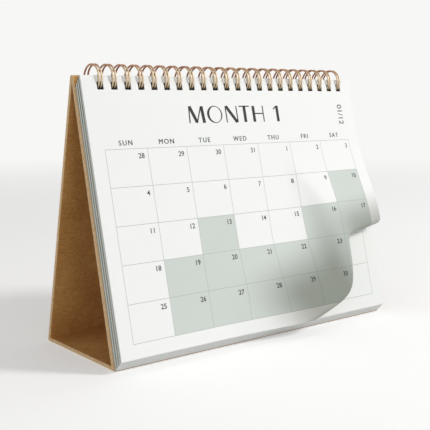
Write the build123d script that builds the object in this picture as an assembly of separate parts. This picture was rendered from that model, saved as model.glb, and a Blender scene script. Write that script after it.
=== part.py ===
from build123d import *
import math
import os

# Desk calendar: leaves bound by a twin loop wire to a folded kraft stand.
# Frame: origin at the middle of the base panel's underside, X along the width,
# -Y towards the reader and +Z up. Lengths are millimetres, angles are degrees.

# Leaves
leaf_width = 200.0
leaf_height = 147.5
leaf_thickness = 0.4
leaf_count = 12
leaf_foot_height = 6.2
leaf_step = 0.38
bound_gap = 0.05
foot_gap = 0.2
turn_gap = 0.3
bound_length = 24.0

# Kraft backing card behind the leaves
card_thickness = 1.3
card_gap = 0.1

# Folded kraft stand, as wide as the leaves
board_thickness = 2.0
front_panel_lean = 13.4
back_panel_lean = 12.5
crest_rise = 0.2
crest_radius = 1.6
foot_radius = 1.1

# Twin loop wire
loop_pitch = 8.467
loop_margin = 10.0
loop_radius = 7.5
loop_drop = 1.4
loop_clearance = 1.0
twin_spacing = 2.2
wire_diameter = 1.0
spine_bend_radius = 1.0
tip_shift = 0.35
loop_facets = 16
bend_facets = 2
wire_sides = 4

# Punched holes that the loops pass through
hole_width = 4.0
hole_height = 3.8

# Lower right corner of the front leaf, lifted and curled under. The crest of the curl
# is three lines, each given by its reach from the corner and its slope across the curl.
curl_direction = 54.6
curl_radius = 4.3
curl_gap = 0.8
curl_ramp = 36.7
corner_ramp = 58.0
corner_ramp_width = 28.0
fade_start = 55.0
fade_end = 105.0
upper_reach = 59.9
upper_slope_share = -0.56
side_reach = 56.4
side_slope_share = 1.69
lower_reach = 20.8
lower_slope_share = -0.39
notch_rounding = 3.8
lower_rounding = 22.0
curled_width = 80.0
curled_height = 76.0
flat_spacing = 12.0
curl_spacing = 3.9

# How far a cutter runs past what it cuts
overrun = 5.0

# Section of the stand in the YZ plane, worked out from its crest downwards
front_lean = math.radians(front_panel_lean)
back_lean = math.radians(back_panel_lean)
front_slope = math.tan(front_lean)
back_slope = math.tan(back_lean)
half_wedge = (front_lean + back_lean) / 2
panel_up = Vector(math.sin(front_lean), math.cos(front_lean))
panel_out = Vector(-math.cos(front_lean), math.sin(front_lean))


def leaf_offset(number, gap):
    """Distance from the front panel to the back face of a leaf, counted from the front."""
    behind = leaf_count - 1 - number
    room = 2 * card_gap + card_thickness + behind * (leaf_thickness + gap)
    return room + turn_gap if number == 0 else room


foot_lift = leaf_offset(0, foot_gap) * math.sin(front_lean)
leaf_foot_reach = (leaf_foot_height - foot_lift) / math.cos(front_lean)
top_lift = leaf_offset(0, bound_gap) * math.sin(front_lean)
leaf_top_height = (leaf_foot_reach + leaf_height) * math.cos(front_lean) + top_lift
crest_height = leaf_top_height + crest_rise
sharp_height = crest_height + crest_radius / math.sin(half_wedge) - crest_radius
base_depth = sharp_height * (front_slope + back_slope)
front_foot = Vector(-base_depth / 2, 0)
back_foot = Vector(base_depth / 2, 0)
sharp_crest = Vector(front_foot.X + sharp_height * front_slope, sharp_height)


def on_panel(offset, reach):
    """Point at a distance in front of the front panel and up along it."""
    return front_foot + panel_out * offset + panel_up * reach


# Front leaf: its top edge, the way down it and the way out of its printed face
leaf_top = on_panel(leaf_offset(0, bound_gap), leaf_foot_reach + leaf_height)
leaf_foot = on_panel(leaf_offset(0, foot_gap), leaf_foot_reach)
leaf_down = (leaf_foot - leaf_top).normalized()
leaf_out = Vector(leaf_down.Y, -leaf_down.X)

# Loops: centred so that the turned leaf clears the stand's back as it passes the crest
loop_height = leaf_top.Y - loop_drop
leaf_back = leaf_top.X - loop_drop * leaf_down.X / leaf_down.Y
stand_back = back_foot.X - loop_height * back_slope
loop_centre = Vector((leaf_back + stand_back + loop_clearance) / 2, loop_height)


def loop_crossing(start, direction):
    """Distance along a straight line to where it leaves the loop's circle."""
    along = (loop_centre - start).dot(direction)
    aside = (loop_centre - start - direction * along).length
    return along + math.sqrt(loop_radius**2 - aside**2)


# The wire's spine runs in the narrow gap under the crest, midway between the panels
crease = sharp_crest - Vector(0, board_thickness / math.sin(half_wedge))
middle_down = Vector((back_slope - front_slope) / 2, -1).normalized()
spine = crease + middle_down * loop_crossing(crease, middle_down)
spine_angle = math.atan2(spine.Y - loop_centre.Y, spine.X - loop_centre.X)
loop_count = int((leaf_width - 2 * loop_margin) / loop_pitch) + 1
first_loop = -(loop_count - 1) * loop_pitch / 2
loop_places = [first_loop + number * loop_pitch for number in range(loop_count)]


def extruded(points, width, place=0):
    """Prism along X with an outline of YZ points, centred on a place along the width."""
    outline = Plane.YZ.offset(place) * make_face(Polyline([(p.X, p.Y) for p in points], close=True))
    return extrude(outline, width / 2, both=True)


def punches(centre, through):
    """Row of square holes, punched where the loops cross, in a direction in the YZ plane."""
    row = Plane(
        origin=(0, centre.X, centre.Y), x_dir=(1, 0, 0), z_dir=(0, through.X, through.Y)
    )
    hole = Box(hole_width, hole_height, board_thickness + overrun)
    return [row * Pos(place, 0) * hole for place in loop_places]


def punches_on(start, down, through):
    """Row of holes in a sheet, where the loops cross a line that runs down the sheet."""
    return punches(start + down * loop_crossing(start, down), through)


def make_stand():
    """One board folded into a closed loop, pinched to a narrow crest."""
    outside = make_face(
        Polyline([(p.X, p.Y) for p in (front_foot, back_foot, sharp_crest)], close=True)
    )
    rounded = fillet(outside.vertices().sort_by(Axis.Y)[:2], foot_radius)
    rounded = fillet(rounded.vertices().sort_by(Axis.Y)[-1:], crest_radius)
    inner_front = front_foot.X + board_thickness * front_slope
    inner_front += board_thickness / math.cos(front_lean)
    inner_back = back_foot.X - board_thickness * back_slope - board_thickness / math.cos(back_lean)
    inside = make_face(
        Polyline(
            [(inner_front, board_thickness), (inner_back, board_thickness), (crease.X, crease.Y)],
            close=True,
        )
    )
    board = extrude(Plane.YZ * (rounded - inside), leaf_width / 2, both=True)
    back_down = Vector(math.sin(back_lean), -math.cos(back_lean))
    back_out = Vector(math.cos(back_lean), math.sin(back_lean))
    front_middle = sharp_crest - panel_out * (board_thickness / 2)
    back_middle = sharp_crest - back_out * (board_thickness / 2)
    front_holes = punches_on(front_middle, panel_up * -1, panel_out)
    return board - front_holes - punches_on(back_middle, back_down, back_out)


def make_card():
    """Card that hangs from the loops behind the last leaf."""
    foot = leaf_foot_reach - leaf_count * leaf_step
    outline = [
        on_panel(card_gap, foot),
        on_panel(card_gap + card_thickness, foot),
        on_panel(card_gap + card_thickness, foot + leaf_height),
        on_panel(card_gap, foot + leaf_height),
    ]
    middle = on_panel(card_gap + card_thickness / 2, foot + leaf_height)
    return extruded(outline, leaf_width) - punches_on(middle, panel_up * -1, panel_out)


def leaf_side(number, down, face):
    """Point on a leaf's back face, or front face, at a distance below its top edge."""
    share = down / leaf_height
    offset = leaf_offset(number, bound_gap) * (1 - share) + leaf_offset(number, foot_gap) * share
    reach = leaf_foot_reach - number * leaf_step + leaf_height - down
    return on_panel(offset + face * leaf_thickness, reach)


def make_page_block():
    """Leaves behind the front one, bound at the top and fanned a little at the foot."""
    outline = []
    for number in range(leaf_count - 1, 0, -1):
        outline += [leaf_side(number, leaf_height, 0), leaf_side(number, leaf_height, 1)]
        if number > 1:
            depth = bound_length - (leaf_count - number) * leaf_step
            outline += [leaf_side(number, depth, 1), leaf_side(number - 1, depth + leaf_step, 0)]
    outline += [leaf_side(1, 0, 1)]
    for number in range(1, leaf_count - 1):
        outline += [leaf_side(number, 0, 0), leaf_side(number + 1, 0, 1)]
    outline += [leaf_side(leaf_count - 1, 0, 0)]
    front = leaf_side(1, 0, 1)
    front += leaf_down * loop_crossing(front, leaf_down)
    back = leaf_side(leaf_count - 1, 0, 0)
    back -= panel_up * loop_crossing(back, panel_up * -1)
    block = extruded(outline, leaf_width)
    return block - punches((front + back) / 2, (front - back).normalized())


def smooth_larger(first, second, rounding):
    return (first + second + math.hypot(first - second, rounding)) / 2


def eased(share):
    """Share of a rise that starts and ends level."""
    share = min(max(share, 0), 1)
    return share**2 * (3 - 2 * share)


def curl_reach(across):
    """Distance from the leaf's corner to the crest of the curl, at a place across the curl."""
    upper = upper_reach + upper_slope_share * across
    side = side_reach + side_slope_share * across
    lower = lower_reach + lower_slope_share * across
    notch = upper + side - smooth_larger(upper, side, notch_rounding)
    return smooth_larger(notch, lower, lower_rounding)


def curled(right, down):
    """Place of a point of the flat leaf once its corner is curled: right, down and lifted."""
    turn = math.radians(curl_direction)
    to_right = right - leaf_width / 2
    to_down = down - leaf_height
    along = to_right * math.cos(turn) + to_down * math.sin(turn)
    across = to_right * math.sin(turn) - to_down * math.cos(turn)
    past = along + curl_reach(across)
    spread = math.exp(-((across / corner_ramp_width) ** 2))
    ramp = curl_ramp + (corner_ramp - curl_ramp) * spread
    top = 2 * curl_radius + curl_gap
    if past < 0:
        moved = past
        lifted = top * eased(1 + past / ramp)
    else:
        angle = min(past / curl_radius, math.pi)
        moved = curl_radius * math.sin(angle) - (past - curl_radius * angle)
        lifted = top - curl_radius * (1 - math.cos(angle))
    lifted *= eased((across + fade_end) / (fade_end - fade_start))
    shift = moved - past
    return right + shift * math.cos(turn), down + shift * math.sin(turn), lifted


def leaf_point(right, down):
    """Point on the front leaf's back face."""
    right, down, lifted = curled(right, down)
    point = leaf_top + leaf_down * down + leaf_out * lifted
    return Vector(right, point.X, point.Y)


def leaf_normal(right, down):
    step = curl_spacing / 100
    rightwards = leaf_point(right + step, down) - leaf_point(right - step, down)
    downwards = leaf_point(right, down + step) - leaf_point(right, down - step)
    return downwards.cross(rightwards).normalized()


def stations(start, middle, end):
    """Places along the leaf: wide apart where it is flat and close where it curls."""
    flat = max(2, round(abs(middle - start) / flat_spacing))
    curl = max(2, round(abs(end - middle) / curl_spacing))
    places = [start + (middle - start) * step / flat for step in range(flat)]
    return places + [middle + (end - middle) * step / curl for step in range(curl + 1)]


def leaf_rows(face):
    """Points of the curled leaf's back or front face, in rows from its top to its foot."""
    rows = []
    for down in stations(0, leaf_height - curled_height, leaf_height):
        row = []
        for right in stations(-leaf_width / 2, leaf_width / 2 - curled_width, leaf_width / 2):
            row.append(leaf_point(right, down) + leaf_normal(right, down) * face * leaf_thickness)
        rows.append(row)
    return rows


def facets(rows):
    """Two flat triangles for each cell of a grid of points."""
    faces = []
    for upper, lower in zip(rows, rows[1:]):
        for place in range(len(upper) - 1):
            first, second = upper[place : place + 2]
            third, fourth = lower[place : place + 2]
            for corners in ([first, second, fourth], [first, fourth, third]):
                faces.append(Face(Wire.make_polygon(corners, close=True)))
    return faces


def make_front_leaf():
    """Top leaf with a curled corner and a row of square holes."""
    back = leaf_rows(0)
    front = leaf_rows(1)
    rims = [[back[0], front[0]], [back[-1], front[-1]]]
    for end in (0, -1):
        rims.append([[row[end] for row in back], [row[end] for row in front]])
    faces = facets(back) + facets(front)
    for rim in rims:
        faces += facets(rim)
    leaf = Solid(Shell(faces))
    return leaf - punches_on(leaf_top, leaf_down, leaf_out)


def on_loop(right, around, radius):
    """Point at a radius of the loops, from its places along X and around the loop."""
    angle = spine_angle + around / loop_radius
    height = loop_centre.Y + radius * math.sin(angle)
    return Vector(right, loop_centre.X + radius * math.cos(angle), height)


def bend(centre, radius, start, end):
    """Bend of the wire, as places along X and around the loop."""
    route = []
    for step in range(bend_facets + 1):
        angle = math.radians(start + (end - start) * step / bend_facets)
        route.append(Vector(radius * math.cos(angle), radius * math.sin(angle)) + centre)
    return route


def twin_loop_route(left_run, right_run):
    """Centre line of a twin loop: up one loop, round its tip and back down the other."""
    half = twin_spacing / 2
    side = half + spine_bend_radius
    tip = 2 * math.pi * loop_radius - tip_shift - half
    climb = tip - spine_bend_radius
    rise = [spine_bend_radius + climb * step / loop_facets for step in range(1, loop_facets)]
    if left_run:
        start = [Vector(-left_run, 0)]
        start += bend(Vector(-side, spine_bend_radius), spine_bend_radius, -90, 0)
    else:
        start = [Vector(-half, spine_bend_radius)]
    if right_run:
        end = bend(Vector(side, spine_bend_radius), spine_bend_radius, 180, 270)
        end += [Vector(right_run, 0)]
    else:
        end = [Vector(half, spine_bend_radius)]
    up = [Vector(-half, around) for around in rise]
    down = [Vector(half, around) for around in reversed(rise)]
    turn = bend(Vector(0, tip), half, 180, 90) + bend(Vector(0, tip), half, 90, 0)[1:]
    return start + up + turn + down + end


def wire_sections(route):
    """Corners of the wire's section at each point of a route, mitred where it turns."""
    sections = []
    last = len(route) - 1
    for place, point in enumerate(route):
        arriving = point - route[place - 1] if place > 0 else route[1] - point
        leaving = route[place + 1] - point if place < last else arriving
        heading = (arriving.normalized() + leaving.normalized()).normalized()
        aside = Vector(-heading.Y, heading.X) / heading.dot(arriving.normalized())
        section = []
        for corner in range(wire_sides):
            angle = 2 * math.pi * (corner + 0.5) / wire_sides
            shifted = point + aside * (wire_diameter / 2 * math.sin(angle))
            radius = loop_radius + wire_diameter / 2 * math.cos(angle)
            section.append(on_loop(shifted.X, shifted.Y, radius))
        sections.append(section)
    return sections


def wire_between(sections):
    """Solid wire through a row of sections."""
    faces = [Face(Wire.make_polygon(end, close=True)) for end in (sections[0], sections[-1])]
    for first, second in zip(sections, sections[1:]):
        for corner in range(wire_sides):
            after = (corner + 1) % wire_sides
            for side in (
                [first[corner], first[after], second[after]],
                [first[corner], second[after], second[corner]],
            ):
                faces.append(Face(Wire.make_polygon(side, close=True)))
    return Solid(Shell(faces))


def make_wire():
    """All the twin loops, joined end to end along the spine into one wire."""
    run = loop_pitch / 2
    loops = []
    for number, place in enumerate(loop_places):
        left_run = 0 if number == 0 else run
        right_run = 0 if number == loop_count - 1 else run
        loop = wire_between(wire_sections(twin_loop_route(left_run, right_run)))
        loops.append(Pos(place, 0, 0) * loop)
    return loops[0].fuse(*loops[1:])


os.makedirs("parts", exist_ok=True)
pieces = {
    "kraft_stand": make_stand,
    "backing_card": make_card,
    "page_block": make_page_block,
    "front_leaf": make_front_leaf,
    "twin_loop_wire": make_wire,
}
for name, make_piece in pieces.items():
    export_step(make_piece(), f"parts/{name}.step")
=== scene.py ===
import math

import bmesh
import bpy
from mathutils import Matrix, Vector


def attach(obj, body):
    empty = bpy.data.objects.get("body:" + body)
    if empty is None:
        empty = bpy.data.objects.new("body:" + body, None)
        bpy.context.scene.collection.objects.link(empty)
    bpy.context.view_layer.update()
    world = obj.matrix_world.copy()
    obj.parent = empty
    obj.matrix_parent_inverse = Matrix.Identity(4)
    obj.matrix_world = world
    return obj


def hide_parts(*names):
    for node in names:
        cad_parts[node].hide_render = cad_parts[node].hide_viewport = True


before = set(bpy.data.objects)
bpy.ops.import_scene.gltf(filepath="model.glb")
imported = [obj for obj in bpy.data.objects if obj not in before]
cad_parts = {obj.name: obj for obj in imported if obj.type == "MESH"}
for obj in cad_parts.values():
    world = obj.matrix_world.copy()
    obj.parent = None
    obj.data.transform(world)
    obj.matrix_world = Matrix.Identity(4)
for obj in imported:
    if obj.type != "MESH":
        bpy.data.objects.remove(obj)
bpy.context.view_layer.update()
print("frame loaded")

millimetre = 0.001
perMetre = 1000  # millimetres in a metre

# The leaves, in millimetres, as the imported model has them
leaf = {
    "width": 200.0,
    "height": 147.5,
    "thickness": 0.4,
    "top": (-7.02417, 149.30206),  # back face at the top edge, Y and Z
    "down": (-0.242615, -0.970123),
    "out": (-0.970123, 0.242615),
    "holeWidth": 4.0,
    "holeHeight": 4.3,
    "holeInset": 5.45,
    "slopeStep": 0.04,  # how far apart the places are that give the leaf's slope
    "sharpAngle": math.radians(40),  # edges past it stay sharp
}

# The wire, in millimetres
loops = {
    "count": 22,
    "pitch": 8.467,
    "radius": 7.5,
    "centre": (-1.75468, 147.7),
    "spineAngle": math.radians(-66.46608),
    "twinSpacing": 2.5,
    "tipSpacing": 1.3,
    "wireDiameter": 1.0,
    "bendRadius": 1.0,
    "tipShift": 0.35,
    "steps": 44,
    "bendSteps": 6,
    "sides": 12,
    "joint": 0.02,  # ends of two loops nearer than this become one
}
firstLoop = -(loops["count"] - 1) * loops["pitch"] / 2
loopPlaces = [firstLoop + number * loops["pitch"] for number in range(loops["count"])]

# Lower right corner of the front leaf, lifted and curled under
curl = {
    "direction": 55.2,
    "radius": 3.6,
    "gap": 0.8,
    "ramp": 60.0,  # length of the rise before the crest
    "cornerRamp": 66.0,
    "cornerRampWidth": 28.0,
    "fadeStart": 55.0,  # the lift dies away along the lower edge
    "fadeEnd": 105.0,
    "upper": (57.9, -0.48),  # reach from the corner, slope across the curl
    "side": (54.4, 1.64),
    "lower": (18.4, -0.41),
    "notchRounding": 4.8,
    "lowerRounding": 21.3,
    "width": 112.0,  # finely meshed part of the leaf, from its corner
    "height": 114.0,
    "flatStep": 6.0,
    "step": 0.9,
    "nearestStep": 0.25,
    "printWidth": 112.0,  # finely cut part of the print
    "printHeight": 110.0,
}

# What is printed, in millimetres across from the middle and down from the top edge
grid = {
    "left": -91.6,
    "top": 39.35,
    "columnPitch": 26.1,
    "rowPitch": 20.1,
    "columns": 7,
    "rows": 5,
    "lineWidth": 0.3,
}
# Sage cells: first column and row, then the column and row where they end
tonedCells = [(6, 1, 7, 2), (2, 2, 3, 3), (5, 2, 7, 3), (1, 3, 7, 5)]
printing = {
    "numberHeight": 2.7,
    "numberRight": 2.4,
    "numberTop": 2.5,
    "weekdayHeight": 2.7,
    "weekdayBase": 37.4,
    "headingHeight": 9.6,
    "headingBase": 26.4,
    "headingLeft": -35.0,
    "headingWidth": 68.0,
    "monthHeight": 4.0,
    "monthPlace": (85.2, 16.2),
    "weight": 0.05,  # how much bolder than the plain letters
    "marginWeight": 0.03,
    "weekdaySpread": 1.3,
    "weekdayShift": 0.06,  # drawn twice, this far to each side, for bolder stems
    "capitalShare": 0.69,  # height of a capital over the size of the letters
    "curveSteps": 4,  # steps in each round part of a letter
    "merge": 0.0005,  # corners nearer than this become one
    "cutStep": 0.6,
    "cutReach": 0.0001,
    "raised": 0.05,
    "sunk": 0.08,
}
inks = {
    "black": ((0.01, 0.011, 0.011), (0.03, 0.031, 0.03)),
    "grey": ((0.035, 0.037, 0.036), (0.09, 0.094, 0.09)),
    "speckleScale": 5200,
    "gloss": 0.3,
}


def eased(share):
    # 0 to 1 without a crease at either end
    share = min(max(share, 0), 1)
    return share**2 * (3 - 2 * share)


def smoothLarger(first, second, rounding):
    # The larger of two values, rounded where they cross
    return (first + second + math.hypot(first - second, rounding)) / 2


def curlReach(across):
    # How far the crest stays from the corner: three lines with a notch and a round end between them
    lines = [curl[line] for line in ("upper", "side", "lower")]
    upper, side, lower = [reach + slope * across for reach, slope in lines]
    notch = upper + side - smoothLarger(upper, side, curl["notchRounding"])
    return smoothLarger(notch, lower, curl["lowerRounding"])


def curlPlace(right, down):
    # Distance past the crest of the curl, and the place across it
    turn = math.radians(curl["direction"])
    toRight = right - leaf["width"] / 2
    toDown = down - leaf["height"]
    along = toRight * math.cos(turn) + toDown * math.sin(turn)
    across = toRight * math.sin(turn) - toDown * math.cos(turn)
    return along + curlReach(across), across


def leafBack(right, down):
    # Place of the leaf's back face in millimetres: a rise, then a roll under the crest
    past, across = curlPlace(right, down)
    spread = math.exp(-((across / curl["cornerRampWidth"]) ** 2))
    ramp = curl["ramp"] + (curl["cornerRamp"] - curl["ramp"]) * spread
    top = 2 * curl["radius"] + curl["gap"]
    if past < 0:
        moved = past
        lifted = top * eased(1 + past / ramp)
    else:
        angle = min(past / curl["radius"], math.pi)
        moved = curl["radius"] * math.sin(angle) - (past - curl["radius"] * angle)
        lifted = top - curl["radius"] * (1 - math.cos(angle))
    lifted *= eased((across + curl["fadeEnd"]) / (curl["fadeEnd"] - curl["fadeStart"]))
    turn = math.radians(curl["direction"])
    right += (moved - past) * math.cos(turn)
    down += (moved - past) * math.sin(turn)
    return Vector(
        (
            right,
            leaf["top"][0] + leaf["down"][0] * down + leaf["out"][0] * lifted,
            leaf["top"][1] + leaf["down"][1] * down + leaf["out"][1] * lifted,
        )
    )


def leafPoint(right, down, height):
    # Place in metres at a height over the leaf's back face
    step = leaf["slopeStep"]
    rightwards = leafBack(right + step, down) - leafBack(right - step, down)
    downwards = leafBack(right, down + step) - leafBack(right, down - step)
    return (leafBack(right, down) + downwards.cross(rightwards).normalized() * height) * millimetre


def addObject(name, mesh):
    piece = bpy.data.objects.new(name, mesh)
    bpy.context.scene.collection.objects.link(piece)
    return piece


def thickened(name, flat, lower, upper):
    # Closed thin solid over the leaf, from a flat mesh in the leaf's own millimetres
    solid = bmesh.new()
    place = solid.verts.layers.float_vector.new("pagePlace")
    curling = solid.verts.layers.float_vector.new("curlPlace")
    under, over = [], []
    for corner in flat.verts:
        right, down = corner.co.x, corner.co.y
        for side, height, row in ((0, lower, under), (1, upper, over)):
            vertex = solid.verts.new(leafPoint(right, down, height))
            vertex[place] = (right, down, side)
            vertex[curling] = (*curlPlace(right, down), 0)
            row.append(vertex)
    for face in flat.faces:
        ring = [corner.index for corner in face.verts]
        solid.faces.new([over[number] for number in ring])
        solid.faces.new([under[number] for number in reversed(ring)])
        for loop in face.loops:
            if loop.edge.is_boundary:
                first, second = loop.vert.index, loop.link_loop_next.vert.index
                solid.faces.new([over[second], over[first], under[first], under[second]])
    bmesh.ops.recalc_face_normals(solid, faces=solid.faces)
    for face in solid.faces:
        face.smooth = True
    for edge in solid.edges:
        if len(edge.link_faces) == 2 and edge.calc_face_angle() > leaf["sharpAngle"]:
            edge.smooth = False
    mesh = bpy.data.meshes.new(name)
    solid.to_mesh(mesh)
    solid.free()
    flat.free()
    return addObject(name, mesh)


class Amount:
    # Wraps a socket, so that sums on a surface read as plain sums
    def __init__(self, finish, socket):
        self.finish = finish
        self.socket = socket

    def sum(self, operation, *values):
        return self.finish.add("ShaderNodeMath", {"operation": operation}, dict(enumerate(values)))

    def __add__(self, other):
        return self.sum("ADD", self, other)

    def __radd__(self, other):
        return self.sum("ADD", other, self)

    def __sub__(self, other):
        return self.sum("SUBTRACT", self, other)

    def __rsub__(self, other):
        return self.sum("SUBTRACT", other, self)

    def __mul__(self, other):
        return self.sum("MULTIPLY", self, other)

    def __rmul__(self, other):
        return self.sum("MULTIPLY", other, self)

    def __truediv__(self, other):
        return self.sum("DIVIDE", self, other)

    def __gt__(self, other):
        return self.sum("GREATER_THAN", self, other)

    def __lt__(self, other):
        return self.sum("LESS_THAN", self, other)

    def __abs__(self):
        return self.sum("ABSOLUTE", self)

    def clipped(self):
        return self.sum("MINIMUM", self.sum("MAXIMUM", self, 0), 1)


class Finish:
    def __init__(self, name, **shader):
        self.material = bpy.data.materials.new(name)
        self.material.use_nodes = True
        self.nodes = self.material.node_tree.nodes
        self.links = self.material.node_tree.links
        self.nodes.clear()
        output = self.nodes.new("ShaderNodeOutputMaterial")
        self.shader = self.nodes.new("ShaderNodeBsdfPrincipled")
        self.links.new(self.shader.outputs[0], output.inputs["Surface"])
        for socket, value in shader.items():
            self.put(self.shader.inputs[socket.replace("_", " ")], value)

    def put(self, socket, value):
        if isinstance(value, Amount):
            self.links.new(value.socket, socket)
        elif isinstance(value, tuple) and socket.type == "RGBA":
            socket.default_value = (*value[:3], 1)
        else:
            socket.default_value = value

    def add(self, kind, settings, sockets, output=0):
        node = self.nodes.new(kind)
        for name, value in settings.items():
            if name == "stops":
                for number, (place, colour) in enumerate(value):
                    stops = node.color_ramp.elements
                    stop = stops[number] if number < len(stops) else stops.new(place)
                    stop.position = place
                    stop.color = (*colour, 1)
            else:
                setattr(node, name, value)
        for socket, value in sockets.items():
            self.put(node.inputs[socket], value)
        return Amount(self, node.outputs[output])

    def place(self):
        return self.add("ShaderNodeTexCoord", {}, {}, "Object")

    def parts(self, vector):
        return [self.add("ShaderNodeSeparateXYZ", {}, {"Vector": vector}, axis) for axis in "XYZ"]

    def stretched(self, vector, scale, turn=(0, 0, 0)):
        return self.add("ShaderNodeMapping", {}, {"Vector": vector, "Scale": scale, "Rotation": turn})

    def noise(self, vector, scale, detail=2, roughness=0.5):
        sockets = {"Vector": vector, "Scale": scale, "Detail": detail, "Roughness": roughness}
        return self.add("ShaderNodeTexNoise", {}, sockets, "Fac")

    def ramp(self, amount, low, high):
        # 0 below low, 1 over high, smooth between
        settings = {"interpolation_type": "SMOOTHSTEP"}
        sockets = {"Value": amount, "From Min": low, "From Max": high}
        return self.add("ShaderNodeMapRange", settings, sockets)

    def blend(self, amount, first, second, kind="MIX"):
        settings = {"data_type": "RGBA", "blend_type": kind}
        return self.add("ShaderNodeMix", settings, {0: amount, 6: first, 7: second}, 2)

    def bump(self, height, strength, distance):
        sockets = {"Height": height, "Strength": strength, "Distance": distance}
        normal = self.add("ShaderNodeBump", {}, sockets)
        self.links.new(normal.socket, self.shader.inputs["Normal"])

    def colour(self, value):
        self.put(self.shader.inputs["Base Color"], value)

    def roughness(self, value):
        self.put(self.shader.inputs["Roughness"], value)


def within(amount, low, high):
    return (amount > low) * (amount < high)


def gridLines(finish, right, down):
    # 1 on the printed calendar lines
    half = grid["lineWidth"] / 2
    gridRight = grid["left"] + grid["columns"] * grid["columnPitch"]
    gridFoot = grid["top"] + grid["rows"] * grid["rowPitch"]
    masks = []
    for amount, start, pitch in (
        (right, grid["left"], grid["columnPitch"]),
        (down, grid["top"], grid["rowPitch"]),
    ):
        steps = (amount - start) / pitch + 0.5
        away = abs(steps.sum("FRACT", steps) - 0.5) * pitch
        masks.append(away < half)
    inside = within(right, grid["left"] - half, gridRight + half)
    inside = inside * within(down, grid["top"] - half, gridFoot + half)
    return masks[0].sum("MAXIMUM", *masks) * inside


paper = {
    "colour": (0.885, 0.895, 0.885),
    "warm": (0.9, 0.895, 0.87),
    # cut is near-black painted shade in the gaps between the leaves' edges
    "cut": (0.1, 0.12, 0.1),
    "cutLight": (0.78, 0.82, 0.75),
    "foot": (0.93, 0.94, 0.92),
    "inner": (0.93, 0.935, 0.925),
    # Near-black painted shade for the leaves' top faces and the punched holes
    "hole": (0.05, 0.045, 0.035),
    "line": (0.4, 0.42, 0.4),
    "lineCover": 0.8,
    "innerLineCover": 0.75,
    "edge": (0.72, 0.74, 0.7),
    "sage": (0.605, 0.655, 0.612),
    "sageLight": (0.66, 0.71, 0.66),
    "sageLine": (0.4, 0.45, 0.41),
    "fibreScale": 2600,
    "cloudScale": 45,
    "sageScale": 3.2,
    "gloss": 0.35,
}

# Painted shade on the curl, darker over its rise and its rim, in millimetres past its crest and across
# it
curlShade = {
    "colour": (0.2, 0.2, 0.155),
    "rise": (-48, -14),
    "riseShade": 0.75,
    "rim": (-24, 2),
    "rimShade": 0.6,
    "rimAcross": (-14, 16),
    "lowAcross": (-6, 24),
    "lowEnd": (-88, -50),
    "margin": (-26, -10),
}

# Cut edges of the leaves behind the front one, in millimetres
leafEdges = {
    "panelFoot": -35.654,  # Y of the front panel's foot
    "panelLean": 13.4,
    "firstOffset": 1.5,
    "topPitch": 0.95,
    "pitchGain": 0.15,
    "streakScale": (1, 300, 60),
    "streakShare": 0.06,
    "shadow": (0.2, 0.42),
    "holeReach": 12,
    "holeSide": 0.097,  # in metres
}


def paperColour(finish, place):
    # White paper with faint warm clouds
    cloud = finish.ramp(finish.noise(place, paper["cloudScale"], 3), 0.35, 0.7)
    return finish.blend(cloud * 0.5, paper["colour"], paper["warm"])


def paperGrain(finish, place):
    # Fine fibres in the surface and its gloss
    fibre = finish.noise(place, paper["fibreScale"], 3, 0.65)
    finish.bump(fibre, 0.12, 0.00006)
    finish.roughness(fibre * 0.16 + 0.6)


def leafPaper():
    # Leaves behind the front one, with the next month's plain grid on the first of them
    finish = Finish("leafPaper", Specular_IOR_Level=paper["gloss"])
    place = finish.place()
    right, back, up = finish.parts(place)
    topBack, topUp = [part * millimetre for part in leaf["top"]]
    down = ((back - topBack) * leaf["down"][0] + (up - topUp) * leaf["down"][1]) * perMetre
    colour = paperColour(finish, place)
    lines = gridLines(finish, right * perMetre, down)
    colour = finish.blend(lines * paper["innerLineCover"], colour, paper["line"])
    colour = finish.blend(1.0, colour, paper["inner"], "MULTIPLY")
    # Lines along the cut edges, by the distance in front of the panel: dark lines of painted shade
    # between the leaves
    lean = math.radians(leafEdges["panelLean"])
    panel = leafEdges["panelFoot"] * millimetre
    offset = (panel - back) * (math.cos(lean) * perMetre) + up * (math.sin(lean) * perMetre)
    pitch = leafEdges["topPitch"] + (down / leaf["height"]).clipped() * leafEdges["pitchGain"]
    pairs = (offset - leafEdges["firstOffset"]) / (pitch * 2)
    between = abs(pairs.sum("FRACT", pairs) - 0.5)
    streaks = finish.noise(finish.stretched(place, leafEdges["streakScale"]), 1, 2)
    shade = finish.ramp(between + streaks * leafEdges["streakShare"], *leafEdges["shadow"])
    cut = finish.blend(shade, paper["cutLight"], paper["cut"])
    normal = finish.parts(finish.add("ShaderNodeNewGeometry", {}, {}, "Normal"))
    facing = abs(normal[1] * leaf["out"][0] + normal[2] * leaf["out"][1])
    # Painted shade: cut faces that don't face sideways go near-black in the upper half, where the top
    # faces and hole walls are, and so does the band of punched holes
    foot = finish.blend(down > leaf["height"] / 2, paper["hole"], paper["foot"])
    cut = finish.blend(abs(normal[0]) > 0.5, foot, cut)
    punched = (down < leafEdges["holeReach"]) * (abs(right) < leafEdges["holeSide"])
    cut = finish.blend(punched, cut, paper["hole"])
    finish.colour(finish.blend(facing < 0.5, colour, cut))
    paperGrain(finish, place)
    return finish.material


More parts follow.
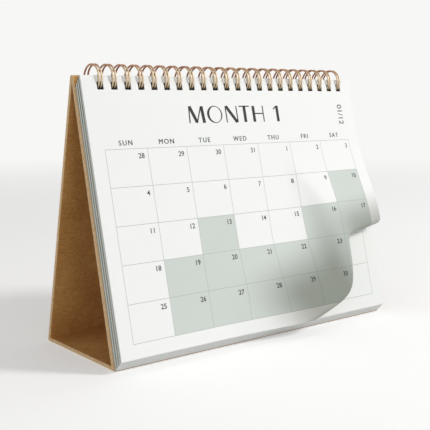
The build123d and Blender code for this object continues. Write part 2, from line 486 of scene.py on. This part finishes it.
def printedPaper():
    # Front leaf: grid, sage cells, and painted shade on the curl
    finish = Finish("printedPaper", Specular_IOR_Level=paper["gloss"])
    place = finish.place()
    page = finish.add("ShaderNodeAttribute", {"attribute_name": "pagePlace"}, {}, "Vector")
    right, down, side = finish.parts(page)
    facedSide = 0.98  # side is 0 on the back, 1 on the front and between them on the cut edge
    faced = side > facedSide
    fields = None  # 1 on the sage cells
    for left, top, far, foot in tonedCells:
        columns = [grid["left"] + column * grid["columnPitch"] for column in (left, far)]
        rows = [grid["top"] + row * grid["rowPitch"] for row in (top, foot)]
        field = within(right, *columns)
        field = field * within(down, *rows)
        fields = field if fields is None else fields + field
    fields = fields.clipped() * faced
    lines = gridLines(finish, right, down) * faced
    grain = finish.noise(page, paper["sageScale"], 2)
    colour = paperColour(finish, place)
    sage = finish.blend(grain * 0.25, paper["sage"], paper["sageLight"])
    colour = finish.blend(fields, colour, sage)
    lineColour = finish.blend(fields, paper["line"], paper["sageLine"])
    colour = finish.blend(lines * paper["lineCover"], colour, lineColour)
    bent = finish.add("ShaderNodeAttribute", {"attribute_name": "curlPlace"}, {}, "Vector")
    past, across = finish.parts(bent)[:2]
    # Painted shade: the curl is darkened over its rise and at its rim, and less on the lower margin
    # before the crest
    low = finish.ramp(across * -1, *curlShade["lowAcross"]) * finish.ramp(across, *curlShade["lowEnd"])
    rise = finish.ramp(past, *curlShade["rise"]) * curlShade["riseShade"]
    rim = finish.ramp(past, *curlShade["rim"]) * curlShade["rimShade"]
    margin = down > grid["top"] + grid["rows"] * grid["rowPitch"] + grid["lineWidth"] / 2
    late = 1 - margin * (1 - finish.ramp(past, *curlShade["margin"]))
    tone = (rise * low + rim * finish.ramp(across, *curlShade["rimAcross"])) * late
    colour = finish.blend(tone.clipped() * faced, colour, curlShade["colour"], "MULTIPLY")
    cut = within(side, 1 - facedSide, facedSide)
    finish.colour(finish.blend(cut, colour, paper["edge"]))
    paperGrain(finish, place)
    return finish.material


def inkFinish(name, dark, light):
    finish = Finish(name, Specular_IOR_Level=inks["gloss"])
    place = finish.place()
    speckle = finish.noise(place, inks["speckleScale"], 2)
    finish.colour(finish.blend(finish.ramp(speckle, 0.35, 0.8), dark, light))
    finish.roughness(speckle * 0.2 + 0.5)
    finish.bump(speckle, 0.1, 0.00004)
    return finish.material


kraft = {
    "dark": (0.45, 0.215, 0.062),
    "middle": (0.6, 0.315, 0.102),
    "light": (0.72, 0.42, 0.16),
    "fleckDark": (0.2, 0.085, 0.025),
    "fleckLight": (0.74, 0.5, 0.26),
    "cut": (0.76, 0.49, 0.25),
    "paleKraft": (0.88, 0.68, 0.44),
    "fibres": ((260, 1900, 1900),),  # stretch of each pattern, and its turn
    "crossing": ((1700, 420, 300), (0.3, 0.2, 0)),
    "flecks": ((420, 900, 900), (0.5, 0, 0.7)),
    "specks": ((900, 500, 700), (0, 0.6, 0.2)),
    "plies": ((1, 1500, 500),),
    "cloudScale": 28,
    "cutPlace": (0.0996, 0.09995),  # metres from the middle
    "crestPlace": (0.1489, 0.1497),  # metres over the table
    # cardShade darkens the backing card's kraft, as painted shade
    "cardShade": 0.86,
    "gloss": 0.02,
}


def kraftBoard(name, shade, crest):
    # Brown board: crossing fibres, flecks, a paler cut edge and a paler crest
    # Every colour is scaled by shade; below 1 it paints shade
    def toned(colour):
        return tuple(part * shade for part in colour)

    finish = Finish(name, Specular_IOR_Level=kraft["gloss"])
    place = finish.place()
    right, up = finish.parts(place)[::2]
    fibres = finish.noise(finish.stretched(place, *kraft["fibres"]), 1, 3, 0.6)
    crossing = finish.noise(finish.stretched(place, *kraft["crossing"]), 1, 3, 0.6)
    clouds = finish.noise(place, kraft["cloudScale"], 4, 0.55)
    body = fibres * 0.45 + crossing * 0.3 + clouds * 0.45
    shares = ((0.42, "dark"), (0.72, "light"), (0.6, "middle"))
    stops = [(share, toned(kraft[tone])) for share, tone in shares]
    colour = finish.add("ShaderNodeValToRGB", {"stops": stops}, {"Fac": body})
    flecks = finish.noise(finish.stretched(place, *kraft["flecks"]), 1, 1)
    pale = finish.ramp(flecks, 0.68, 0.74) * 0.55
    colour = finish.blend(pale, colour, toned(kraft["fleckLight"]))
    specks = finish.noise(finish.stretched(place, *kraft["specks"]), 1, 1)
    deep = finish.ramp(specks, 0.7, 0.76) * 0.6
    colour = finish.blend(deep, colour, toned(kraft["fleckDark"]))
    edge = finish.ramp(abs(right), *kraft["cutPlace"])
    plies = finish.ramp(finish.noise(finish.stretched(place, *kraft["plies"]), 1, 2), 0.35, 0.7)
    cut = finish.blend(plies, toned(kraft["cut"]), toned(kraft["paleKraft"]))
    colour = finish.blend(edge, colour, cut)
    # The crest is made paler along its top
    if crest:
        paleKraft = finish.ramp(up + fibres * 0.0006, *kraft["crestPlace"])
        colour = finish.blend(paleKraft * 0.7, colour, toned(kraft["paleKraft"]))
    finish.colour(colour)
    finish.roughness(fibres * 0.2 + 0.68)
    finish.bump(fibres + crossing * 0.6 + flecks * 0.4, 0.35, 0.00012)
    return finish.material


copper = {
    # The crest's dark and light colours and the legs' colour are painted reflection on one metal; the
    # colour for inside the holes is painted shade
    "dark": (0.42, 0.19, 0.1),
    "light": (0.55, 0.28, 0.16),
    "litLeg": (0.56, 0.44, 0.29),
    "drawn": (0.8, 0.6, 0.42),
    "inHoleShade": (0.03, 0.025, 0.02),
    "legPlace": (0.0035, 0.0085),  # metres to the front
    "holePlace": (0.1422, 0.1443),  # metres over the table
    "cloudScale": 160,
    "drawnScale": (2400, 500, 500),
    "metallic": 0.65,
}


def copperWire():
    # Painted light on one metal: redder over the crest and paler where the legs come down over the
    # page, as painted reflection, and dark in the holes, as painted shade
    finish = Finish("copperWire", Metallic=copper["metallic"])
    place = finish.place()
    back, up = finish.parts(place)[1:]
    litLeg = finish.ramp(back * -1, *copper["legPlace"])
    clouds = finish.noise(place, copper["cloudScale"], 3)
    drawn = finish.noise(finish.stretched(place, copper["drawnScale"]), 1, 3)
    # Painted reflection: the crest's colours are redder and the legs' colour paler, standing in for
    # how each part of the one wire takes the light
    crest = finish.blend(finish.ramp(clouds, 0.35, 0.7), copper["dark"], copper["light"])
    colour = finish.blend(litLeg, crest, copper["litLeg"])
    # Painted shade: the legs turn near-black where they go into the holes
    shadedInHole = (1 - finish.ramp(up, *copper["holePlace"])) * litLeg
    colour = finish.blend(shadedInHole * 0.9, colour, copper["inHoleShade"])
    finish.colour(finish.blend(drawn * 0.2, colour, copper["drawn"]))
    finish.roughness(drawn * 0.16 + 0.36)
    finish.bump(drawn, 0.12, 0.00003)
    return finish.material


def dress(node, material):
    # A CAD mesh that keeps its shape and gets a finish
    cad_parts[node].data.materials.clear()
    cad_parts[node].data.materials.append(material)


dress("kraft_stand", kraftBoard("kraftBoard", 1.0, True))
# The backing card is the stand's kraft made darker: painted shade on the card between stand and leaves
dress("backing_card", kraftBoard("kraftCard", kraft["cardShade"], False))
dress("page_block", leafPaper())
print("stand, card and inner leaves finished")


def places(start, middle, end, edges):
    # Mesh lines: the hole edges, wide steps on the flat part and small ones on the curl
    lines = sorted(edges)
    flat = max(2, round(abs(middle - start) / curl["flatStep"]))
    fine = max(2, round(abs(end - middle) / curl["step"]))
    plain = [start + (middle - start) * step / flat for step in range(flat)]
    plain += [middle + (end - middle) * step / fine for step in range(fine + 1)]
    for line in plain:
        if all(abs(line - edge) > curl["nearestStep"] for edge in edges) or line in (start, end):
            lines.append(line)
    return sorted(lines)


def makeFrontLeaf():
    # Flat grid of quads with the punched holes left out, then bent and thickened
    half = leaf["width"] / 2
    sides = [place + side * leaf["holeWidth"] / 2 for place in loopPlaces for side in (-1, 1)]
    ends = [leaf["holeInset"] + side * leaf["holeHeight"] / 2 for side in (-1, 1)]
    columns = places(-half, half - curl["width"], half, sides)
    rows = places(0, leaf["height"] - curl["height"], leaf["height"], ends)
    flat = bmesh.new()
    corners = [[flat.verts.new((right, down, 0)) for right in columns] for down in rows]
    for number, (down, below) in enumerate(zip(rows, rows[1:])):
        for across, (right, beyond) in enumerate(zip(columns, columns[1:])):
            middle = (right + beyond) / 2
            punched = ends[0] < (down + below) / 2 < ends[1] and any(
                first < middle < second for first, second in zip(sides[::2], sides[1::2])
            )
            if not punched:
                left, after = corners[number], corners[number + 1]
                flat.faces.new([left[across], after[across], after[across + 1], left[across + 1]])
    flat.verts.index_update()
    return thickened("frontLeaf", flat, 0, leaf["thickness"])


frontLeaf = makeFrontLeaf()
frontLeaf.data.materials.append(printedPaper())
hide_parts("front_leaf")
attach(frontLeaf, "leaf")
print("front leaf made")


def words(text, height, right, base, anchor, weight, spread=1.0, turned=0.0):
    # Flat faces of a text in the leaf's own millimetres, down growing downwards
    curve = bpy.data.curves.new("words", "FONT")
    curve.body = text
    curve.align_x = anchor
    curve.size = height / printing["capitalShare"]
    curve.offset = weight
    curve.space_character = spread
    curve.resolution_u = printing["curveSteps"]
    holder = addObject("words", curve)
    bpy.context.view_layer.update()
    graph = bpy.context.evaluated_depsgraph_get()
    mesh = bpy.data.meshes.new_from_object(holder.evaluated_get(graph))
    mesh.transform(Matrix.Rotation(-turned, 4, "Z"))
    mesh.transform(Matrix.Diagonal((1, -1, 1, 1)))
    mesh.transform(Matrix.Translation((right, base, 0)))
    bpy.data.objects.remove(holder)
    bpy.data.curves.remove(curve)
    return mesh


def ink(name, meshes, material, fine):
    # Thin solid of ink on the leaf, cut finely where the leaf bends
    flat = bmesh.new()
    for mesh in meshes:
        flat.from_mesh(mesh)
        bpy.data.meshes.remove(mesh)
    bmesh.ops.remove_doubles(flat, verts=flat.verts, dist=printing["merge"])
    bmesh.ops.dissolve_degenerate(flat, edges=flat.edges, dist=printing["merge"])
    if fine:
        half = leaf["width"] / 2
        curlLeft = half - curl["printWidth"]
        curlTop = leaf["height"] - curl["printHeight"]
        for axis, start, end in (((1, 0, 0), curlLeft, half), ((0, 1, 0), curlTop, leaf["height"])):
            cut = start
            while cut < end:
                near = [v for v in flat.verts if v.co.x > curlLeft and v.co.y > curlTop]
                faces = {face for vertex in near for face in vertex.link_faces}
                edges = {edge for face in faces for edge in face.edges}
                corners = set(near) | {vertex for face in faces for vertex in face.verts}
                whole = [*corners, *edges, *faces]
                place = Vector(axis) * cut
                reach = printing["cutReach"]
                bmesh.ops.bisect_plane(flat, geom=whole, plane_co=place, plane_no=axis, dist=reach)
                cut += printing["cutStep"]
    for face in flat.faces:
        if face.normal.z < 0:
            face.normal_flip()
    bmesh.ops.triangulate(flat, faces=flat.faces)
    flat.verts.index_update()
    thickness = leaf["thickness"]
    piece = thickened(name, flat, thickness - printing["sunk"], thickness + printing["raised"])
    piece.data.materials.append(material)
    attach(piece, "leaf")


def dayNumbers(days, firstCell):
    # A number in the upper right corner of each cell, from the first cell on
    meshes = []
    height = printing["numberHeight"]
    for number, day in enumerate(days, firstCell):
        column, row = number % grid["columns"], number // grid["columns"]
        right = grid["left"] + (column + 1) * grid["columnPitch"] - printing["numberRight"]
        base = grid["top"] + row * grid["rowPitch"] + printing["numberTop"] + height
        meshes.append(words(str(day), height, right, base, "RIGHT", printing["weight"]))
    return meshes


def stroke(mesh, start, end, width):
    # Straight stroke of a letter, as one quad
    start, end = Vector((*start, 0)), Vector((*end, 0))
    run = end - start
    aside = Vector((-run.y, run.x, 0)).normalized() * width / 2
    ring = (start - aside, end - aside, end + aside, start + aside)
    mesh.faces.new([mesh.verts.new(point) for point in ring])


def ringStroke(mesh, centre, outside, inside, shift):
    # Round letter with thick sides: an ellipse in an ellipse
    steps = tall["ringSteps"]
    rings = []
    for (width, height), move in ((outside, 0), (inside, shift)):
        ring = []
        for step in range(steps):
            angle = 2 * math.pi * step / steps
            right = centre[0] + move + width * math.cos(angle)
            ring.append(mesh.verts.new((right, centre[1] + height * math.sin(angle), 0)))
        rings.append(ring)
    for step in range(steps):
        after = (step + 1) % steps
        mesh.faces.new([rings[0][step], rings[0][after], rings[1][after], rings[1][step]])


# Letters of the heading in shares of their height: where each starts, and its strokes
tall = {
    "thick": 0.19,
    "thin": 0.07,
    "width": 6.21,
    "strokes": [
        (0.0, "thin", (0.04, 0), (0.1, 1)),
        (0.0, "thick", (0.13, 1), (0.5, 0.04)),
        (0.0, "thin", (0.5, 0), (0.86, 1)),
        (0.0, "thick", (0.9, 1), (0.97, 0)),
        (2.44, "thin", (0.05, 0), (0.05, 1)),
        (2.44, "thick", (0.09, 1), (0.74, 0)),
        (2.44, "thin", (0.79, 0), (0.79, 1)),
        (3.42, "thin", (0, 0.98), (0.72, 0.98)),
        (3.42, "thick", (0.36, 0), (0.36, 0.98)),
        (4.36, "thick", (0.06, 0), (0.06, 1)),
        (4.36, "thin", (0.12, 0.52), (0.72, 0.52)),
        (4.36, "thin", (0.74, 0), (0.74, 1)),
        (5.85, "thick", (0.3, 0), (0.3, 1)),
        (5.85, "thin", (0.02, 0.78), (0.26, 0.98)),
    ],
    "ringCentre": (1.72, 0.5),
    "ringOutside": (0.5, 0.52),
    "ringInside": (0.39, 0.475),
    "ringShift": 0.035,
    "ringSteps": 40,
}


def heading():
    # MONTH 1 in tall letters with thick and thin strokes
    letters = bmesh.new()
    for at, weight, start, end in tall["strokes"]:
        stroke(letters, (at + start[0], start[1]), (at + end[0], end[1]), tall[weight])
    ringStroke(letters, tall["ringCentre"], tall["ringOutside"], tall["ringInside"], tall["ringShift"])
    scale = printing["headingHeight"]
    squeeze = printing["headingWidth"] / tall["width"]
    for corner in letters.verts:
        right = printing["headingLeft"] + corner.co.x * squeeze
        corner.co = Vector((right, printing["headingBase"] - corner.co.y * scale, 0))
    mesh = bpy.data.meshes.new("heading")
    letters.to_mesh(mesh)
    letters.free()
    return mesh


blackInk = inkFinish("blackInk", *inks["black"])
greyInk = inkFinish("greyInk", *inks["grey"])

weekdays = ["SUN", "MON", "TUE", "WED", "THU", "FRI", "SAT"]
weekdayMeshes = []
for number, day in enumerate(weekdays):
    middle = grid["left"] + (number + 0.5) * grid["columnPitch"]
    height, base = printing["weekdayHeight"], printing["weekdayBase"]
    for side in (-1, 1):
        place = middle + side * printing["weekdayShift"]
        weekdayMeshes.append(words(day, height, place, base, "CENTER", 0.0, printing["weekdaySpread"]))
ink("weekdayHeads", weekdayMeshes, blackInk, False)
ink("dayNumbers", dayNumbers(range(1, 32), 4), blackInk, True)
ink("leadingNumbers", dayNumbers(range(28, 32), 0), greyInk, False)
height, weight = printing["monthHeight"], printing["marginWeight"]
monthMesh = words("01/12", height, *printing["monthPlace"], "LEFT", weight, 1.0, math.radians(90))
ink("marginNumbers", [monthMesh], greyInk, False)
ink("monthHeading", [heading()], blackInk, False)
print("print made")


def bend(centre, radius, start, end):
    # Places along a round bend, in degrees
    steps = loops["bendSteps"]
    route = []
    for step in range(steps + 1):
        angle = math.radians(start + (end - start) * step / steps)
        route.append((centre[0] + radius * math.cos(angle), centre[1] + radius * math.sin(angle)))
    return route


def twinLoop():
    # One twin loop as places along X and around the loop, from one spine run to the next
    half, small, narrow = loops["twinSpacing"] / 2, loops["bendRadius"], loops["tipSpacing"] / 2
    side, run = half + small, loops["pitch"] / 2
    tip = 2 * math.pi * loops["radius"] - loops["tipShift"] - half
    climb = tip - small
    shares = [step / loops["steps"] for step in range(1, loops["steps"])]
    rise = [(half + (narrow - half) * share, small + climb * share) for share in shares]
    route = [(-run, 0)] + bend((-side, small), small, -90, 0)
    route += [(-aside, around) for aside, around in rise]
    route += bend((0, tip), narrow, 180, 0)
    route += reversed(rise)
    route += bend((side, small), small, 180, 270) + [(run, 0)]
    points = []
    for right, around in route:
        angle = loops["spineAngle"] + around / loops["radius"]
        back = loops["centre"][0] + loops["radius"] * math.cos(angle)
        up = loops["centre"][1] + loops["radius"] * math.sin(angle)
        points.append((right * millimetre, back * millimetre, up * millimetre))
    return points


def wireTree():
    # Repeats one loop along the row, joins the loops into one wire and gives it its section
    tree = bpy.data.node_groups.new("twinLoopWire", "GeometryNodeTree")
    faces = tree.interface
    faces.new_socket("Geometry", in_out="INPUT", socket_type="NodeSocketGeometry")
    for name, kind in (
        ("Loop count", "NodeSocketInt"),
        ("First loop", "NodeSocketFloat"),
        ("Loop pitch", "NodeSocketFloat"),
        ("Wire radius", "NodeSocketFloat"),
        ("Wire sides", "NodeSocketInt"),
        ("End trim", "NodeSocketFloat"),
        ("Joint", "NodeSocketFloat"),
        ("Finish", "NodeSocketMaterial"),
    ):
        faces.new_socket(name, in_out="INPUT", socket_type=kind)
    faces.new_socket("Geometry", in_out="OUTPUT", socket_type="NodeSocketGeometry")
    start = tree.nodes.new("NodeGroupInput").outputs

    def step(kind, settings, sockets, output=0):
        node = tree.nodes.new(kind)
        for name, value in settings.items():
            setattr(node, name, value)
        for name, value in sockets.items():
            if isinstance(value, bpy.types.NodeSocket):
                tree.links.new(value, node.inputs[name])
            else:
                node.inputs[name].default_value = value
        return node.outputs[output]

    first = step("ShaderNodeCombineXYZ", {}, {"X": start["First loop"]})
    pitch = step("ShaderNodeCombineXYZ", {}, {"X": start["Loop pitch"]})
    row = step(
        "GeometryNodeMeshLine",
        {"mode": "OFFSET"},
        {"Count": start["Loop count"], "Start Location": first, "Offset": pitch},
    )
    copies = step("GeometryNodeInstanceOnPoints", {}, {"Points": row, "Instance": start["Geometry"]})
    joined = step("GeometryNodeRealizeInstances", {}, {"Geometry": copies})
    merged = step("GeometryNodeMergeByDistance", {}, {"Geometry": joined, "Distance": start["Joint"]})
    line = step("GeometryNodeMeshToCurve", {}, {"Mesh": merged})
    length = step("GeometryNodeCurveLength", {}, {"Curve": line})
    end = step("ShaderNodeMath", {"operation": "SUBTRACT"}, {0: length, 1: start["End trim"]})
    ends = {"Curve": line, 4: start["End trim"], 5: end}
    trimmed = step("GeometryNodeTrimCurve", {"mode": "LENGTH"}, ends)
    section = step(
        "GeometryNodeCurvePrimitiveCircle",
        {},
        {"Resolution": start["Wire sides"], "Radius": start["Wire radius"]},
    )
    solid = {"Curve": trimmed, "Profile Curve": section, "Fill Caps": True}
    wire = step("GeometryNodeCurveToMesh", {}, solid)
    smooth = step("GeometryNodeSetShadeSmooth", {}, {"Geometry": wire})
    plain = step("GeometryNodeRealizeInstances", {}, {"Geometry": smooth})
    finished = step("GeometryNodeSetMaterial", {}, {"Geometry": plain, "Material": start["Finish"]})
    tree.links.new(finished, tree.nodes.new("NodeGroupOutput").inputs["Geometry"])
    return tree


def makeWire():
    points = twinLoop()
    route = bpy.data.meshes.new("wireRoute")
    route.from_pydata(points, [(number, number + 1) for number in range(len(points) - 1)], [])
    holder = addObject("wireRoute", route)
    maker = holder.modifiers.new("wire", "NODES")
    maker.node_group = wireTree()
    small = loops["bendRadius"]
    run = loops["pitch"] / 2 - loops["twinSpacing"] / 2 - small
    values = {
        "Loop count": loops["count"],
        "First loop": firstLoop * millimetre,
        "Loop pitch": loops["pitch"] * millimetre,
        "Wire radius": loops["wireDiameter"] / 2 * millimetre,
        "Wire sides": loops["sides"],
        "End trim": (run + small * math.pi / 2) * millimetre,
        "Joint": loops["joint"] * millimetre,
        "Finish": copperWire(),
    }
    for item in maker.node_group.interface.items_tree:
        if item.in_out == "INPUT" and item.name in values:
            maker[item.identifier] = values[item.name]
    bpy.context.view_layer.update()
    graph = bpy.context.evaluated_depsgraph_get()
    mesh = bpy.data.meshes.new_from_object(holder.evaluated_get(graph))
    bpy.data.objects.remove(holder)
    mesh.name = "twinLoopWire"
    return addObject("twinLoopWire", mesh)


wire = makeWire()
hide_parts("twin_loop_wire")
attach(wire, "stand")
print("wire made")


studio = {
    "floorSize": 8.0,
    "floorColour": (0.78, 0.78, 0.775),
    "floorLight": (0.82, 0.82, 0.815),
    "floorGlow": 0.36,
    "floorFade": (0.35, 1.6),  # metres from the object
    "backColour": (0.93, 0.93, 0.92),
    "airColour": (1.0, 0.99, 0.98),
    "airStrength": 0.34,
    "keyPlace": (1.1, -1.0, 1.05),
    "keySize": 0.32,
    "keyPower": 18.2,
    "fillPlace": (-1.25, -0.5, 0.35),
    "fillSize": 0.8,
    "fillPower": 3.2,
    "lowPlace": (-0.2, -1.2, 0.06),
    "lowSize": 0.6,
    "lowPower": 3.4,
    "lampTarget": (0, 0, 0.07),
    "cameraPlace": (-0.3165, -0.3902, 0.1373),
    "cameraTurn": (82.12, 0.0, -38.52),
    "lens": 70.33,
    "sensorWidth": 36,
}


def makeFloor():
    # Pale floor that keeps the shadows near the object and glows evenly far from it
    half = studio["floorSize"] / 2
    mesh = bpy.data.meshes.new("floor")
    corners = [(-half, -half, 0), (half, -half, 0), (half, half, 0), (-half, half, 0)]
    mesh.from_pydata(corners, [], [(0, 1, 2, 3)])
    floor = addObject("floor", mesh)
    finish = Finish("floorFinish", Specular_IOR_Level=0.0)
    place = finish.place()
    clouds = finish.noise(place, 3, 3)
    away = finish.add("ShaderNodeVectorMath", {"operation": "LENGTH"}, {0: place}, "Value")
    far = finish.ramp(away, *studio["floorFade"])
    near = finish.blend(clouds * 0.3, studio["floorColour"], studio["floorLight"])
    black = (0, 0, 0)
    finish.colour(finish.blend(far, near, black))
    finish.roughness(clouds * 0.1 + 0.6)
    rays = ("Camera", "Glossy", "Transmission")
    path = [finish.add("ShaderNodeLightPath", {}, {}, f"Is {ray} Ray") for ray in rays]
    seen = path[0].sum("MAXIMUM", path[0], path[1])
    seen = seen.sum("MAXIMUM", seen, path[2])
    dim = tuple(part * studio["floorGlow"] for part in studio["backColour"])
    glow = finish.blend(far, dim, studio["backColour"])
    finish.put(finish.shader.inputs["Emission Color"], finish.blend(seen, black, glow))
    finish.shader.inputs["Emission Strength"].default_value = 1
    mesh.materials.append(finish.material)


def makeLamp(name, place, size, power):
    # Square lamp that points at the middle of the object
    data = bpy.data.lights.new(name, "AREA")
    data.size = size
    data.energy = power
    lamp = addObject(name, data)
    lamp.location = place
    toObject = Vector(studio["lampTarget"]) - Vector(place)
    lamp.rotation_euler = toObject.to_track_quat("-Z", "Y").to_euler()


def makeAir():
    # Even light from all round, and a plain backdrop for the camera and for reflections
    world = bpy.data.worlds.new("air")
    world.use_nodes = True
    nodes, links = world.node_tree.nodes, world.node_tree.links
    nodes.clear()
    output = nodes.new("ShaderNodeOutputWorld")
    mix = nodes.new("ShaderNodeMixShader")
    lit, seen = nodes.new("ShaderNodeBackground"), nodes.new("ShaderNodeBackground")
    lit.inputs[0].default_value = (*studio["airColour"], 1)
    lit.inputs[1].default_value = studio["airStrength"]
    seen.inputs[0].default_value = (*studio["backColour"], 1)
    path = nodes.new("ShaderNodeLightPath")
    glossy = nodes.new("ShaderNodeMath")
    glossy.operation = "MAXIMUM"
    links.new(path.outputs["Is Camera Ray"], glossy.inputs[0])
    links.new(path.outputs["Is Glossy Ray"], glossy.inputs[1])
    both = nodes.new("ShaderNodeMath")
    both.operation = "MAXIMUM"
    links.new(glossy.outputs[0], both.inputs[0])
    links.new(path.outputs["Is Transmission Ray"], both.inputs[1])
    links.new(both.outputs[0], mix.inputs[0])
    links.new(lit.outputs[0], mix.inputs[1])
    links.new(seen.outputs[0], mix.inputs[2])
    links.new(mix.outputs[0], output.inputs[0])
    bpy.context.scene.world = world


makeFloor()
makeAir()
for lamp in ("key", "fill", "low"):
    makeLamp(f"{lamp}Lamp", studio[f"{lamp}Place"], studio[f"{lamp}Size"], studio[f"{lamp}Power"])

cameraData = bpy.data.cameras.new("camera")
cameraData.lens = studio["lens"]
cameraData.sensor_width = studio["sensorWidth"]
cameraData.sensor_fit = "HORIZONTAL"
camera = addObject("camera", cameraData)
camera.location = studio["cameraPlace"]
camera.rotation_euler = [math.radians(angle) for angle in studio["cameraTurn"]]
bpy.context.scene.camera = camera
bpy.context.scene.view_settings.view_transform = "Standard"
print("studio made")
